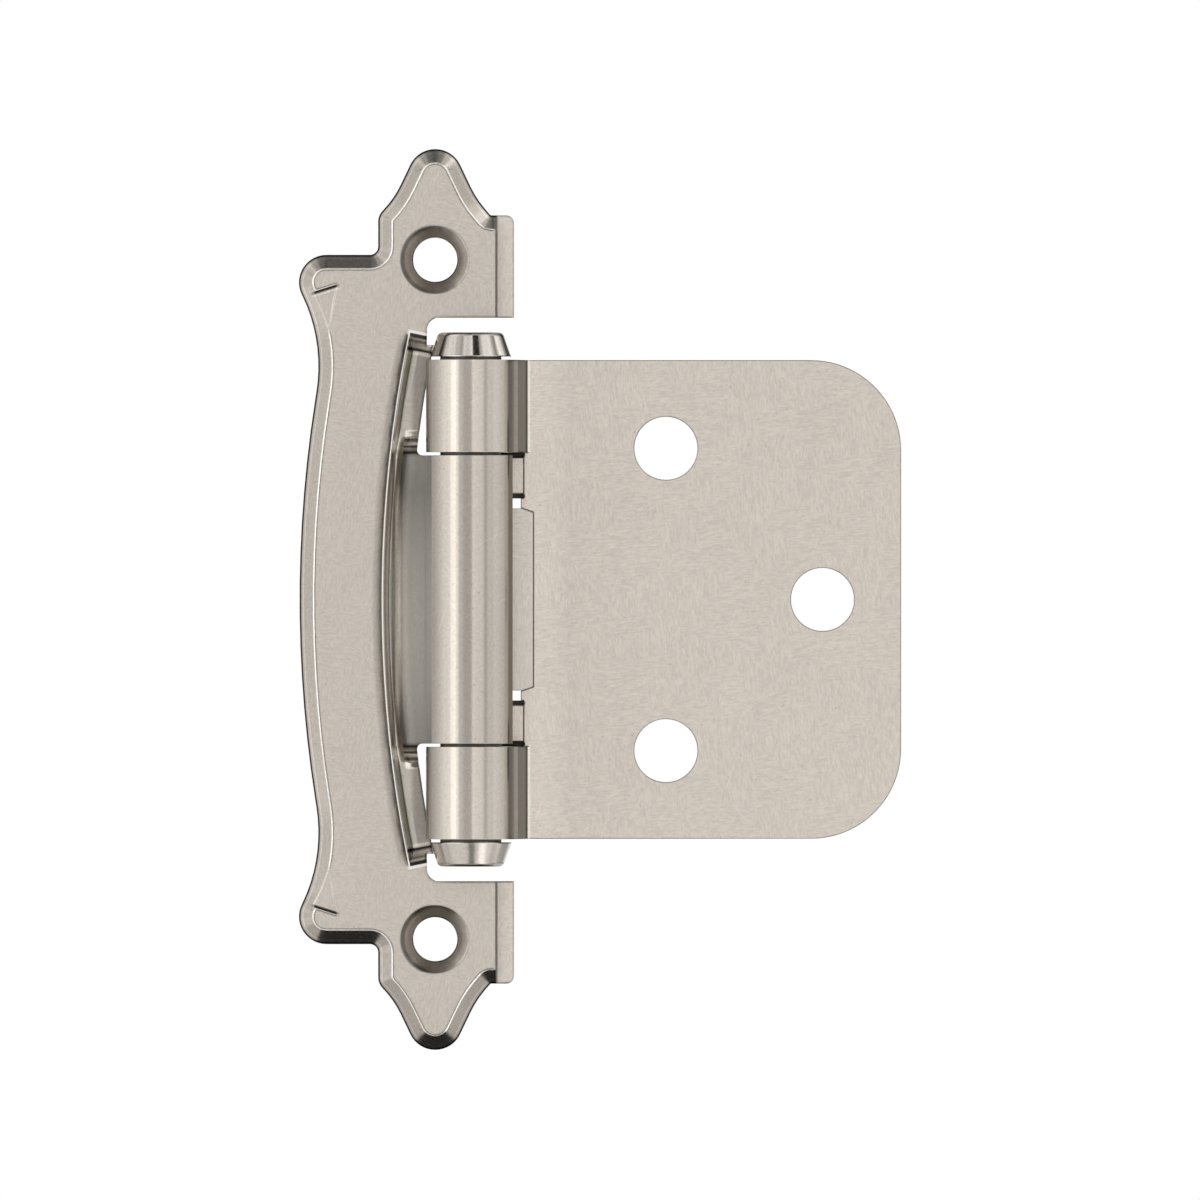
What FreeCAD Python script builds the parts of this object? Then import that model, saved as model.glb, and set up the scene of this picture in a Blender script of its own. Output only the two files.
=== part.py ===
import FreeCAD, Part
import math
import os

# A self-closing cabinet hinge that is screwed to the face of a frame. X runs right, Z runs
# up along the pin, and the front faces -Y. The origin is midway between the frame wing's
# two screws, on the face that the hinge lies against. Sizes are in millimetres.

# Sheet, pin and knuckles
SHEET = 1.1
PIN_RADIUS = 2.38
PIN_RUNNING_CLEARANCE = 0.04
ROLL_SEAM = 0.2
CAM_FLAT_DISTANCE = 3.25

# Along the pin, from the middle outwards
CENTRE_KNUCKLE_LENGTH = 22.36
KNUCKLE_GAP = 0.25
OUTER_KNUCKLE_LENGTH = 7.17
TIP_GAP = 0.25
TIP_LENGTH = 1.87
TIP_BASE_RADIUS = 3.16
TIP_END_RADIUS = 2.5
TIP_EDGE_RADIUS = 0.4
SPIGOT_RADIUS = 1.6
SPIGOT_LENGTH = 1.2
CUTOUT_END_CLEARANCE = 1.18
CUTOUT_SIDE_CLEARANCE = 0.27
CUTOUT_CORNER_RADIUS = 0.95

# Closing spring, a bent strip of spring steel
SPRING_SHEET = 0.45
SPRING_HEIGHT = 14.16
SPRING_KNUCKLE_GAP = 0.08
SPRING_BACK_GAP = 0.25
SPRING_BEND_ANGLE = 20.0
SPRING_BEND_RADIUS = 0.6
SPRING_HOOK_ANGLE = 35.0
SPRING_CHAMFER_LENGTH = 0.93
SPRING_CHAMFER_DEPTH = 0.32
SPRING_SEAT_CLEARANCE = 0.03

# Frame wing in plan, from the line of its screws
PIN_AXIS_X = 2.78
SCREW_ABOVE_CUTOUT = 4.5
SCREW_HOLE_RADIUS = 1.72
COUNTERSINK_RADIUS = 2.65
COUNTERSINK_DEPTH = 0.93
SEAT_RADIUS = 2.7
SEAT_TOP_RADIUS = 3.55
FINIAL_RISE = 8.6
FINIAL_TIP_RADIUS = 2.15
FINIAL_HALF_ANGLE = 25.5
FLANK_BEND_RISE = 4.76
FLANK_BEND_RADIUS = 7.7
SHORTEST_RUN = 0.1
SHOULDER_RISE = 3.45
SHOULDER_LEFT = 4.43
SHOULDER_RIGHT = 4.3
SHOULDER_FILLET = 0.2
SHOULDER_RADIUS = 1.2
SHOULDER_RUN = 0.46
STRIP_WIDTH = 1.36
STRIP_CORNER_RADIUS = 0.6
EAR_TOP_RISE = 0.38
EAR_FILLET = 0.65
EAR_CORNER_LEFT = 11.85
EAR_RADIUS = 2.14
WAIST_LEFT = 8.62
WAIST_DROP = 6.35
WAIST_RADIUS = 12.7
BODY_CORNER_LEFT = 11.76
BODY_RADIUS = 100.0

# Frame wing in section
PLATEAU_HEIGHT = 2.4
RIM_BEVEL = 1.1
RIM_SEAT = 0.5
INNER_CREST_RADIUS = 0.9
WING_RAMP_ANGLE = 62.0
VALLEY_RADIUS = 1.1
WALL_PLAN = 0.56
INNER_ARC_RADIUS = 103.0
FLANGE_WIDTH = 2.05
FLANGE_END_DROP = 2.13
POCKET_END_DROP = 2.45
BLEND_LENGTH = 1.95
BLEND_STEPS = 4
HOLLOW_WALL = 0.7
HOLLOW_BEVEL = 0.6
BEVEL_SHARE = 0.95
WINDOW_FILLET = 0.45

# Coined mark below each ear
MARK_DEPTH = 0.25
MARK_LEAN = 0.14
MARK_NEAR = (-7.64, -2.3)
MARK_FAR = (-9.7, -2.95)
MARK_POINT = (-8.3, -5.9)

# Door leaf, from the pin axis
LEAF_REACH = 33.43
LEAF_CORNER_RADIUS = 7.0
LEAF_BEND = 4.35
LEAF_BEND_RADIUS = 0.3
LEAF_HOLE_RADIUS = 2.45
LEAF_NEAR_HOLES = 15.15
LEAF_NEAR_SPACING = 23.5
LEAF_FAR_HOLE = 27.32
FLAP_EDGE = 2.35
FLAP_LINE = 4.1
FLAP_COIN_DEPTH = 0.08
GROOVE_REACH = 4.16
GROOVE_DEPTH = 0.6
GROOVE_END_RUN = 0.01
RELIEF_HEIGHT = 0.4
SLOT_HEIGHT = 0.39
SPRING_WINDOW_REACH = 3.87
SPRING_WINDOW_SIDE = 0.77
SPRING_TAB_END = 4.82

# Worked out from the sizes above
KNUCKLE_RADIUS = PIN_RADIUS + PIN_RUNNING_CLEARANCE + SHEET
PIN_AXIS_OUT = KNUCKLE_RADIUS + SPRING_KNUCKLE_GAP + SPRING_SHEET + SPRING_BACK_GAP
CENTRE_END = CENTRE_KNUCKLE_LENGTH / 2
OUTER_START = CENTRE_END + KNUCKLE_GAP
LEAF_END = OUTER_START + OUTER_KNUCKLE_LENGTH
TIP_BASE = LEAF_END + TIP_GAP
CUTOUT_Z = TIP_BASE + TIP_LENGTH + CUTOUT_END_CLEARANCE
CUTOUT_X = PIN_AXIS_X - TIP_BASE_RADIUS - CUTOUT_SIDE_CLEARANCE
SCREW_Z = CUTOUT_Z + SCREW_ABOVE_CUTOUT
STRIP_INNER = SHOULDER_RIGHT + SHOULDER_RUN
STRIP_OUTER = STRIP_INNER + STRIP_WIDTH
FAR = 60.0

# How closely an edge is matched, and how far left the barrel's side of the wing reaches
MATCH = 0.001
MARGIN = 0.01
BARREL_SIDE_SHARE = 0.75


def at(x, out, z):
    """A point: x to the right, out in front of the mounting face, z up."""
    return FreeCAD.Vector(x, -out, z)


def corner_sides(before, corner, after):
    """The directions in which an outline comes to a corner and leaves it."""
    into = FreeCAD.Vector(corner[0] - before[0], corner[1] - before[1], 0).normalize()
    away = FreeCAD.Vector(after[0] - corner[0], after[1] - corner[1], 0).normalize()
    return into, away


def turns(corners):
    """Each corner of a closed outline with the directions of the runs beside it."""
    following = corners[1:] + corners[:1]
    for before, corner, after in zip(corners[-1:] + corners[:-1], corners, following):
        yield corner, *corner_sides(before, corner, after)


def limited(corners):
    """Corners whose roundings take no more of the runs between them than there is."""
    following = corners[1:] + corners[:1]
    tangents = [math.tan(into.getAngle(away) / 2) for _, into, away in turns(corners)]
    rooms = []
    for corner, after, tangent, next_tangent in zip(
        corners, following, tangents, tangents[1:] + tangents[:1]
    ):
        room = math.dist(corner[:2], after[:2]) - SHORTEST_RUN
        taken = corner[2] * tangent + after[2] * next_tangent
        rooms.append(min(1.0, room / taken) if taken else 1.0)
    shares = [min(pair) for pair in zip(rooms[-1:] + rooms[:-1], rooms)]
    return [(a, b, radius * share) for (a, b, radius), share in zip(corners, shares)]


def inset(corners, distance):
    """The same outline drawn in by a distance, for an outline that runs clockwise."""
    drawn = []
    for corner, into, away in turns(corners):
        bisector = FreeCAD.Vector(into.y + away.y, -into.x - away.x, 0) / (1 + into.dot(away))
        convex = into.cross(away).z < 0
        grown = corner[2] + (-distance if convex else distance)
        radius = max(grown, 0) if corner[2] else 0
        moved = (corner[0] + bisector.x * distance, corner[1] + bisector.y * distance, radius)
        drawn.append(moved)
    return drawn


def bevel_size(corners, wanted):
    """The bevel that a rim can take, which its tightest bend limits."""
    tightest = math.inf
    for corner, into, away in turns(corners):
        if corner[2] and into.cross(away).z < 0:
            tightest = min(tightest, corner[2])
    return min(wanted, BEVEL_SHARE * tightest)


def rounded_corner(before, corner, after, radius):
    """Start, middle and end of the arc that rounds one corner of an outline."""
    into, away = corner_sides(before, corner, after)
    half_turn = into.getAngle(away) / 2
    reach = radius * math.tan(half_turn)
    sagitta = radius / math.cos(half_turn) - radius
    inward = (away - into).normalize() * sagitta
    start = (corner[0] - into.x * reach, corner[1] - into.y * reach)
    middle = (corner[0] + inward.x, corner[1] + inward.y)
    end = (corner[0] + away.x * reach, corner[1] + away.y * reach)
    return start, middle, end


def rounded_face(corners, place):
    """A face whose corners (a, b, radius) are joined by straight runs; place lays them out."""
    edges = []
    last = None
    first = None
    for i, (a, b, radius) in enumerate(corners):
        start = (a, b)
        end = (a, b)
        if radius:
            after = corners[(i + 1) % len(corners)]
            start, middle, end = rounded_corner(corners[i - 1], (a, b), after, radius)
        if last:
            edges.append(Part.LineSegment(place(*last), place(*start)).toShape())
        else:
            first = start
        if radius:
            edges.append(Part.Arc(place(*start), place(*middle), place(*end)).toShape())
        last = end
    edges.append(Part.LineSegment(place(*last), place(*first)).toShape())
    return Part.Face(Part.Wire(edges))


def plate(corners, back, front):
    """A flat piece cut to an outline in plan, from one height to another."""
    face = rounded_face(corners, lambda x, z: at(x, back, z))
    return face.extrude(FreeCAD.Vector(0, back - front, 0))


def block(left, right, back, front, low, high):
    """A box given by its six sides."""
    corner = at(left, front, low)
    return Part.makeBox(right - left, front - back, high - low, corner)


def mirrored(corners):
    """The same corners below the middle, in the order that continues the outline."""
    return [(x, -z, radius) for x, z, radius in reversed(corners) if z]


def both_ends(shape):
    """A shape and its copy below the middle."""
    return [shape, shape.mirror(FreeCAD.Vector(0, 0, 0), FreeCAD.Vector(0, 0, 1))]


def polar(radius, degrees):
    """A point at an angle about the pin, from the side that a sheet comes from."""
    angle = math.radians(degrees)
    return (radius * math.cos(angle), radius * math.sin(angle))


def ramp_foot(radius, ramp_angle, level):
    """Where a ramp tangent to a circle about the pin comes down to a level."""
    slope = math.radians(ramp_angle)
    touch = polar(radius, 90 - ramp_angle)
    return (touch[0] + (touch[1] - level) / math.tan(slope), level)


def roll_face(side, bore, ramp_angle, foot_radius, plate_end, z):
    """Section of a sheet that leaves its plate, climbs a ramp and rolls round the pin."""
    outer = bore + SHEET
    start_angle = 90 - ramp_angle
    seam_angle = math.degrees(math.acos((bore - ROLL_SEAM) / outer))
    end_angle = start_angle - seam_angle + 360
    middle_angle = (start_angle + end_angle) / 2
    front = SHEET - PIN_AXIS_OUT
    back = -PIN_AXIS_OUT
    outer_touch = polar(outer, start_angle)
    inner_touch = polar(bore, start_angle)
    top_foot = ramp_foot(outer, ramp_angle, front)
    back_foot = ramp_foot(bore, ramp_angle, back)
    plate_front = (plate_end, front)
    plate_back = (plate_end, back)
    valley = rounded_corner(plate_front, top_foot, outer_touch, foot_radius)
    heel = rounded_corner(inner_touch, back_foot, plate_back, foot_radius + SHEET)

    def place(point):
        return at(PIN_AXIS_X + side * point[0], PIN_AXIS_OUT + point[1], z)

    def line(start, end):
        return Part.LineSegment(place(start), place(end)).toShape()

    def arc(start, middle, end):
        return Part.Arc(place(start), place(middle), place(end)).toShape()

    edges = [
        line(plate_front, valley[0]),
        arc(*valley),
        line(valley[2], outer_touch),
        arc(outer_touch, polar(outer, middle_angle), polar(outer, end_angle)),
        line(polar(outer, end_angle), polar(bore, end_angle)),
        arc(polar(bore, end_angle), polar(bore, middle_angle), inner_touch),
        line(inner_touch, heel[0]),
        arc(*heel),
        line(heel[2], plate_back),
        line(plate_back, plate_front),
    ]
    return Part.Face(Part.Wire(edges))


def arc_centre_x():
    """Centre of the arcs that shape the wing's inner side, on the right of the pin."""
    foot = ramp_foot(KNUCKLE_RADIUS, WING_RAMP_ANGLE, SHEET - PIN_AXIS_OUT)[0]
    valley = VALLEY_RADIUS * math.tan(math.radians(WING_RAMP_ANGLE / 2))
    return PIN_AXIS_X - foot - valley - WALL_PLAN + INNER_ARC_RADIUS


def wing_corners(right_side):
    """Outline of the raised part of the frame wing, with its right side given."""
    half_angle = math.radians(FINIAL_HALF_ANGLE)
    apex = SCREW_Z + FINIAL_RISE - FINIAL_TIP_RADIUS + FINIAL_TIP_RADIUS / math.sin(half_angle)
    bend_z = SCREW_Z + FLANK_BEND_RISE
    bend_x = (apex - bend_z) * math.tan(half_angle)
    shoulder = SCREW_Z + SHOULDER_RISE
    ear_top = SCREW_Z + EAR_TOP_RISE
    right = [(bend_x, bend_z, FLANK_BEND_RADIUS)] + right_side(bend_x, bend_z, shoulder)
    left = [
        (-EAR_CORNER_LEFT, ear_top, EAR_RADIUS),
        (-SHOULDER_LEFT, ear_top, EAR_FILLET),
        (-SHOULDER_LEFT, shoulder, SHOULDER_RADIUS),
        (-bend_x, bend_z, FLANK_BEND_RADIUS),
    ]
    waist = (-WAIST_LEFT, SCREW_Z - WAIST_DROP, WAIST_RADIUS)
    upper = [(0, apex, FINIAL_TIP_RADIUS)] + right
    lower = mirrored(right) + [(0, -apex, FINIAL_TIP_RADIUS)] + mirrored([waist] + left)
    return limited(upper + lower + [(-BODY_CORNER_LEFT, 0, BODY_RADIUS), waist] + left)


def straight_right_side(bend_x, bend_z, shoulder):
    """Right side of the raised part before the openings for the barrel are cut."""
    return [
        (SHOULDER_RIGHT, shoulder, SHOULDER_FILLET),
        (STRIP_INNER, shoulder, 0),
        (STRIP_INNER, CUTOUT_Z, 0),
        (0, CUTOUT_Z, 0),
    ]


def arc_x(radius, z):
    """Where one of the arcs along the wing's inner side stands at a height."""
    return arc_centre_x() - math.sqrt(radius ** 2 - z ** 2)


def arc_corner(radius, low, high):
    """The corner that an arc between two heights rounds off."""
    low_angle = math.asin(low / radius)
    high_angle = math.asin(high / radius)
    middle = (low_angle + high_angle) / 2
    distance = radius / math.cos((high_angle - low_angle) / 2)
    return (arc_centre_x() - distance * math.cos(middle), distance * math.sin(middle), radius)


def hollow_right_side(bend_x, bend_z, shoulder):
    """Right side of the space behind the raised part, before it is drawn in by the seat."""
    side = STRIP_INNER - SHEET + RIM_SEAT
    flank_slope = (bend_z - shoulder) / (SHOULDER_RIGHT - bend_x)
    return [(side, shoulder + (SHOULDER_RIGHT - side) * flank_slope, 0)]


def is_rim(edge, height, right_side):
    """Whether an edge lies on the outer rim of a raised outline at a height."""
    box = edge.BoundBox
    middle = edge.valueAt((edge.FirstParameter + edge.LastParameter) / 2)
    level = abs(box.YMin + height) < MATCH and abs(box.YMax + height) < MATCH
    on_barrel_side = middle.x > -BARREL_SIDE_SHARE * WAIST_LEFT
    beside_barrel = abs(middle.z) < CUTOUT_Z + SHEET + MARGIN and on_barrel_side
    return level and middle.x < right_side - MARGIN and not beside_barrel


def rim_edges(shape, height, right_side):
    """The edges of a shape that lie on the outer rim at a height."""
    return [edge for edge in shape.Edges if is_rim(edge, height, right_side)]


def raised_part():
    """The wing's outline at full height, with its rim bevelled."""
    corners = wing_corners(straight_right_side)
    bevel = bevel_size(corners, RIM_BEVEL)
    body = plate(corners, 0, PLATEAU_HEIGHT)
    return body.makeChamfer(bevel, rim_edges(body, PLATEAU_HEIGHT, STRIP_INNER))


def inner_crest(shape):
    """The edges where the plateau rolls over into the pocket beside the barrel."""
    crest = []
    for edge in shape.Edges:
        box = edge.BoundBox
        middle = edge.valueAt((edge.FirstParameter + edge.LastParameter) / 2)
        high = abs(box.YMin + PLATEAU_HEIGHT) < MATCH and abs(box.YMax + PLATEAU_HEIGHT) < MATCH
        reach = math.hypot(middle.x - arc_centre_x(), middle.z)
        if high and reach < INNER_ARC_RADIUS + MARGIN and middle.x < -MARGIN:
            crest.append(edge)
    return crest


def barrel_pocket():
    """What is pressed down beside the barrel, from the plateau to the flange."""
    centre = arc_centre_x()
    reach = INNER_ARC_RADIUS - WALL_PLAN
    above = PLATEAU_HEIGHT + SHEET
    slope = WALL_PLAN / (PLATEAU_HEIGHT - SHEET)
    profile = Part.Face(Part.makePolygon([
        at(centre - reach, SHEET, 0),
        at(centre - reach - slope * (above - SHEET), above, 0),
        at(STRIP_OUTER, above, 0),
        at(STRIP_OUTER, SHEET, 0),
        at(centre - reach, SHEET, 0),
    ]))
    middle = at(centre, 0, 0)
    across = FreeCAD.Vector(0, 1, 0)
    end_angle = math.degrees(math.asin((CUTOUT_Z - POCKET_END_DROP) / INNER_ARC_RADIUS))
    sweep = end_angle + 2
    profile.rotate(middle, across, -sweep)
    pocket = profile.revolve(middle, across, 2 * sweep)
    end = block(centre - 2 * INNER_ARC_RADIUS, centre, -FAR, FAR, 0, FAR)
    end.rotate(at(centre, SHEET, 0), FreeCAD.Vector(1, 0, 0), -45)
    end.rotate(middle, across, end_angle)
    return pocket.cut(both_ends(end))


def blend_section(share, z):
    """The wing's sheet beside the barrel, raised by a share of the centre's ramp."""
    front = SHEET - PIN_AXIS_OUT
    back = -PIN_AXIS_OUT
    bore = KNUCKLE_RADIUS - SHEET
    start_angle = 90 - WING_RAMP_ANGLE
    top_foot = ramp_foot(KNUCKLE_RADIUS, WING_RAMP_ANGLE, front)
    back_foot = ramp_foot(bore, WING_RAMP_ANGLE, back)
    touch = polar(KNUCKLE_RADIUS, start_angle)
    inner_touch = polar(bore, start_angle)
    flat_end = top_foot[0] + 2 * VALLEY_RADIUS
    valley = rounded_corner((flat_end, front), top_foot, touch, VALLEY_RADIUS)
    heel = rounded_corner(inner_touch, back_foot, (flat_end, back), VALLEY_RADIUS + SHEET)
    slope = math.tan(math.radians(WING_RAMP_ANGLE))
    near = touch[0]
    inner_near = inner_touch[1] - (near - inner_touch[0]) * slope

    def place(point, level):
        height = level + share * (point[1] - level)
        return at(PIN_AXIS_X - point[0], PIN_AXIS_OUT + height, z)

    def line(start, end, levels):
        return Part.LineSegment(place(start, levels[0]), place(end, levels[1])).toShape()

    def bend(points, corner, level):
        if share == 0:
            return line(points[0], points[2], (level, level))
        if share == 1:
            return Part.Arc(*[place(point, level) for point in points]).toShape()
        curve = Part.BezierCurve()
        curve.setPoles([place(point, level) for point in (points[0], corner, points[2])])
        return curve.toShape()

    return Part.Wire([
        line((flat_end, front), valley[0], (front, front)),
        bend(valley, top_foot, front),
        line(valley[2], touch, (front, front)),
        line(touch, (near, inner_near), (front, back)),
        line((near, inner_near), heel[0], (back, back)),
        bend(heel, back_foot, back),
        line(heel[2], (flat_end, back), (back, back)),
        line((flat_end, back), (flat_end, front), (back, front)),
    ])


def blend():
    """The stretch of sheet that climbs from the flange to the centre's ramp."""
    sections = []
    for step in range(BLEND_STEPS + 1):
        part_way = step / BLEND_STEPS
        share = part_way ** 2 * (3 - 2 * part_way)
        sections.append(blend_section(share, CENTRE_END + BLEND_LENGTH * (1 - part_way)))
    return Part.makeLoft(sections, True, True)


def barrel_window():
    """The opening beside an outer knuckle and its tip."""
    radius = INNER_ARC_RADIUS - FLANGE_WIDTH
    step = CUTOUT_Z - FLANGE_END_DROP
    low = CENTRE_END + 2 * WINDOW_FILLET
    high = step - WINDOW_FILLET
    low_lean = math.tan(math.asin(low / radius))
    high_lean = math.tan(math.asin(high / radius))
    corners = [
        (FAR, CUTOUT_Z, 0),
        (CUTOUT_X, CUTOUT_Z, CUTOUT_CORNER_RADIUS),
        (CUTOUT_X, step, 0),
        (arc_x(radius, high) + (step - high) * high_lean, step, 0),
        arc_corner(radius, low, high),
        (arc_x(radius, low) - (low - CENTRE_END) * low_lean, CENTRE_END, WINDOW_FILLET),
        (FAR, CENTRE_END, 0),
    ]
    return plate(corners, -SHEET, FAR)


def screw_hole():
    """A countersunk screw hole of the wing."""
    forward = FreeCAD.Vector(0, -1, 0)
    hole = Part.makeCylinder(SCREW_HOLE_RADIUS, FAR, at(0, -SHEET, SCREW_Z), forward)
    seat = at(0, PLATEAU_HEIGHT - COUNTERSINK_DEPTH, SCREW_Z)
    sink = Part.makeCone(SCREW_HOLE_RADIUS, COUNTERSINK_RADIUS, COUNTERSINK_DEPTH, seat, forward)
    return hole.fuse(sink)


def edge_strip():
    """The low strip along the right side of a wing's head."""
    shoulder = SCREW_Z + SHOULDER_RISE
    inner = STRIP_INNER - SHEET / 2
    return plate([
        (inner, shoulder, 0),
        (STRIP_OUTER, shoulder, STRIP_CORNER_RADIUS),
        (STRIP_OUTER, CUTOUT_Z, 0),
        (inner, CUTOUT_Z, 0),
    ], 0, SHEET)


def ear_mark():
    """The wedge that is struck out of the front below an ear."""
    ear_top = SCREW_Z + EAR_TOP_RISE
    floor = PLATEAU_HEIGHT - MARK_DEPTH
    above = PLATEAU_HEIGHT + SHEET
    rise = MARK_LEAN * SHEET / MARK_DEPTH
    near = (MARK_NEAR[0], ear_top + MARK_NEAR[1])
    far = (MARK_FAR[0], ear_top + MARK_FAR[1])
    step = Part.makePolygon([
        at(near[0], floor, near[1] - MARK_LEAN),
        at(near[0], above, near[1] + rise),
        at(far[0], above, far[1] + rise),
        at(far[0], floor, far[1] - MARK_LEAN),
        at(near[0], floor, near[1] - MARK_LEAN),
    ])
    point = Part.Vertex(at(MARK_POINT[0], PLATEAU_HEIGHT, ear_top + MARK_POINT[1]))
    return Part.makeLoft([step, point], True)


def cam_flats():
    """What is pressed flat on the centre knuckle, to the right and behind."""
    right = PIN_AXIS_X + CAM_FLAT_DISTANCE
    behind = PIN_AXIS_OUT - CAM_FLAT_DISTANCE
    side = block(right, FAR, -FAR, FAR, -CENTRE_END, CENTRE_END)
    reach = KNUCKLE_RADIUS - SHEET
    back = block(PIN_AXIS_X - reach, FAR, -FAR, behind, -CENTRE_END, CENTRE_END)
    return [side, back]


def screw_seat():
    """The sheet that a screw's countersink is pressed down into, as far as the back."""
    height = PLATEAU_HEIGHT - SHEET
    foot = at(0, 0, SCREW_Z)
    return Part.makeCone(SEAT_RADIUS, SEAT_TOP_RADIUS, height, foot, FreeCAD.Vector(0, -1, 0))


def hollow():
    """The space behind the raised part, which leaves a wall of the sheet all round."""
    height = PLATEAU_HEIGHT - SHEET
    corners = inset(wing_corners(hollow_right_side), RIM_SEAT)
    space = plate(corners, 0, height)
    rim = rim_edges(space, height, STRIP_INNER - SHEET)
    space = space.makeChamfer(bevel_size(corners, HOLLOW_BEVEL), rim)
    side = CUTOUT_Z + SHEET
    radius = INNER_ARC_RADIUS + HOLLOW_WALL
    middle = at(arc_centre_x(), -SHEET, 0)
    beside = Part.makeCylinder(radius, PLATEAU_HEIGHT + SHEET, middle, FreeCAD.Vector(0, -1, 0))
    beside = beside.common(block(-FAR, FAR, -FAR, FAR, -side, side))
    return space.cut([beside] + both_ends(screw_seat()))


def frame_wing():
    bore = PIN_RADIUS + PIN_RUNNING_CLEARANCE
    foot = ramp_foot(KNUCKLE_RADIUS, WING_RAMP_ANGLE, SHEET - PIN_AXIS_OUT)[0]
    flat_start = PIN_AXIS_X - foot - VALLEY_RADIUS * math.tan(math.radians(WING_RAMP_ANGLE / 2))
    reach = CENTRE_END + BLEND_LENGTH
    under = block(flat_start, FAR, -SHEET, SHEET, -reach, reach)
    wing = raised_part().cut(barrel_pocket())
    wing = wing.makeFillet(INNER_CREST_RADIUS, inner_crest(wing)).cut(under)
    wing = wing.fuse(both_ends(blend())).cut(both_ends(barrel_window()))
    plate_end = foot + 2 * VALLEY_RADIUS
    section = roll_face(-1, bore, WING_RAMP_ANGLE, VALLEY_RADIUS, plate_end, -CENTRE_END)
    knuckle = section.extrude(FreeCAD.Vector(0, 0, CENTRE_KNUCKLE_LENGTH)).cut(cam_flats())
    wing = wing.fuse([knuckle] + both_ends(edge_strip()))
    holes = [hollow()] + both_ends(screw_hole()) + both_ends(ear_mark())
    return wing.cut(holes).removeSplitter()


def leaf_ramp_angle():
    """Slope of the door leaf's sheet where it climbs from its bend to its knuckle."""
    front = SHEET - PIN_AXIS_OUT
    distance = math.hypot(LEAF_BEND, front)
    touch = math.atan2(front, LEAF_BEND) + math.acos((PIN_RADIUS + SHEET) / distance)
    return 90 - math.degrees(touch)


def leaf_hole(reach, z):
    """A screw hole of the door leaf."""
    start = at(PIN_AXIS_X + reach, -SHEET, z)
    return Part.makeCylinder(LEAF_HOLE_RADIUS, 3 * SHEET, start, FreeCAD.Vector(0, -1, 0))


def groove(low, high):
    """A groove struck into the leaf's front, from its edge by the barrel to a round end."""
    end = PIN_AXIS_X + GROOVE_REACH
    radius = (high - low - GROOVE_END_RUN) / 2
    corners = [(PIN_AXIS_X, high, 0), (end, high, radius), (end, low, radius), (PIN_AXIS_X, low, 0)]
    return plate(corners, SHEET - GROOVE_DEPTH, 2 * SHEET)


def spring_tab(clearance, back, front):
    """The flat end of the closing spring in plan, with its two corners cut."""
    end = PIN_AXIS_X + SPRING_TAB_END + clearance
    top = SPRING_HEIGHT / 2 + clearance
    corners = [
        (PIN_AXIS_X, top, 0),
        (end - SPRING_CHAMFER_LENGTH, top, 0),
        (end, top - SPRING_CHAMFER_DEPTH, 0),
    ]
    return plate(corners + mirrored(corners), back, front)


def door_leaf():
    edge = PIN_AXIS_X + FLAP_EDGE
    right = PIN_AXIS_X + LEAF_REACH
    plate_end = LEAF_BEND + SHEET
    corners = [(edge, LEAF_END, 0), (right, LEAF_END, LEAF_CORNER_RADIUS)]
    leaf = plate(corners + mirrored(corners), 0, SHEET)
    beside = block(0, PIN_AXIS_X + plate_end, -SHEET, FAR, OUTER_START, FAR)
    section = roll_face(1, PIN_RADIUS, leaf_ramp_angle(), LEAF_BEND_RADIUS, plate_end, OUTER_START)
    knuckle = section.extrude(FreeCAD.Vector(0, 0, OUTER_KNUCKLE_LENGTH))
    leaf = leaf.cut(both_ends(beside)).fuse(both_ends(knuckle))
    side = SPRING_HEIGHT / 2 + SPRING_WINDOW_SIDE
    relief = OUTER_START - RELIEF_HEIGHT
    window = block(0, PIN_AXIS_X + SPRING_WINDOW_REACH, -SHEET, 2 * SHEET, -side, side)
    floor = SHEET - FLAP_COIN_DEPTH
    coin = block(0, PIN_AXIS_X + FLAP_LINE, floor, 2 * SHEET, side, OUTER_START)
    recess = spring_tab(SPRING_SEAT_CLEARANCE, SHEET - SPRING_SHEET, 2 * SHEET)
    cuts = [window, recess, leaf_hole(LEAF_FAR_HOLE, 0)]
    cuts += both_ends(groove(relief, OUTER_START)) + both_ends(groove(side, side + SLOT_HEIGHT))
    cuts += both_ends(coin) + both_ends(leaf_hole(LEAF_NEAR_HOLES, LEAF_NEAR_SPACING / 2))
    return leaf.cut(cuts).removeSplitter()


def about_pin(corners):
    """A solid turned about the pin from corners (radius, z, rounding)."""
    face = rounded_face(corners, lambda r, z: at(PIN_AXIS_X + r, PIN_AXIS_OUT, z))
    return face.revolve(at(PIN_AXIS_X, PIN_AXIS_OUT, 0), FreeCAD.Vector(0, 0, 1), 360)


def hinge_pin():
    tip_end = TIP_BASE + TIP_LENGTH
    return about_pin([
        (0, -tip_end, 0),
        (TIP_END_RADIUS, -tip_end, TIP_EDGE_RADIUS),
        (TIP_BASE_RADIUS, -TIP_BASE, 0),
        (PIN_RADIUS, -TIP_BASE, 0),
        (PIN_RADIUS, TIP_BASE, 0),
        (SPIGOT_RADIUS, TIP_BASE, 0),
        (SPIGOT_RADIUS, TIP_BASE + SPIGOT_LENGTH, 0),
        (0, TIP_BASE + SPIGOT_LENGTH, 0),
    ])


def pin_tip():
    tip_end = TIP_BASE + TIP_LENGTH
    return about_pin([
        (0, TIP_BASE + SPIGOT_LENGTH, 0),
        (SPIGOT_RADIUS, TIP_BASE + SPIGOT_LENGTH, 0),
        (SPIGOT_RADIUS, TIP_BASE, 0),
        (TIP_BASE_RADIUS, TIP_BASE, 0),
        (TIP_END_RADIUS, tip_end, TIP_EDGE_RADIUS),
        (0, tip_end, 0),
    ])


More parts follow.
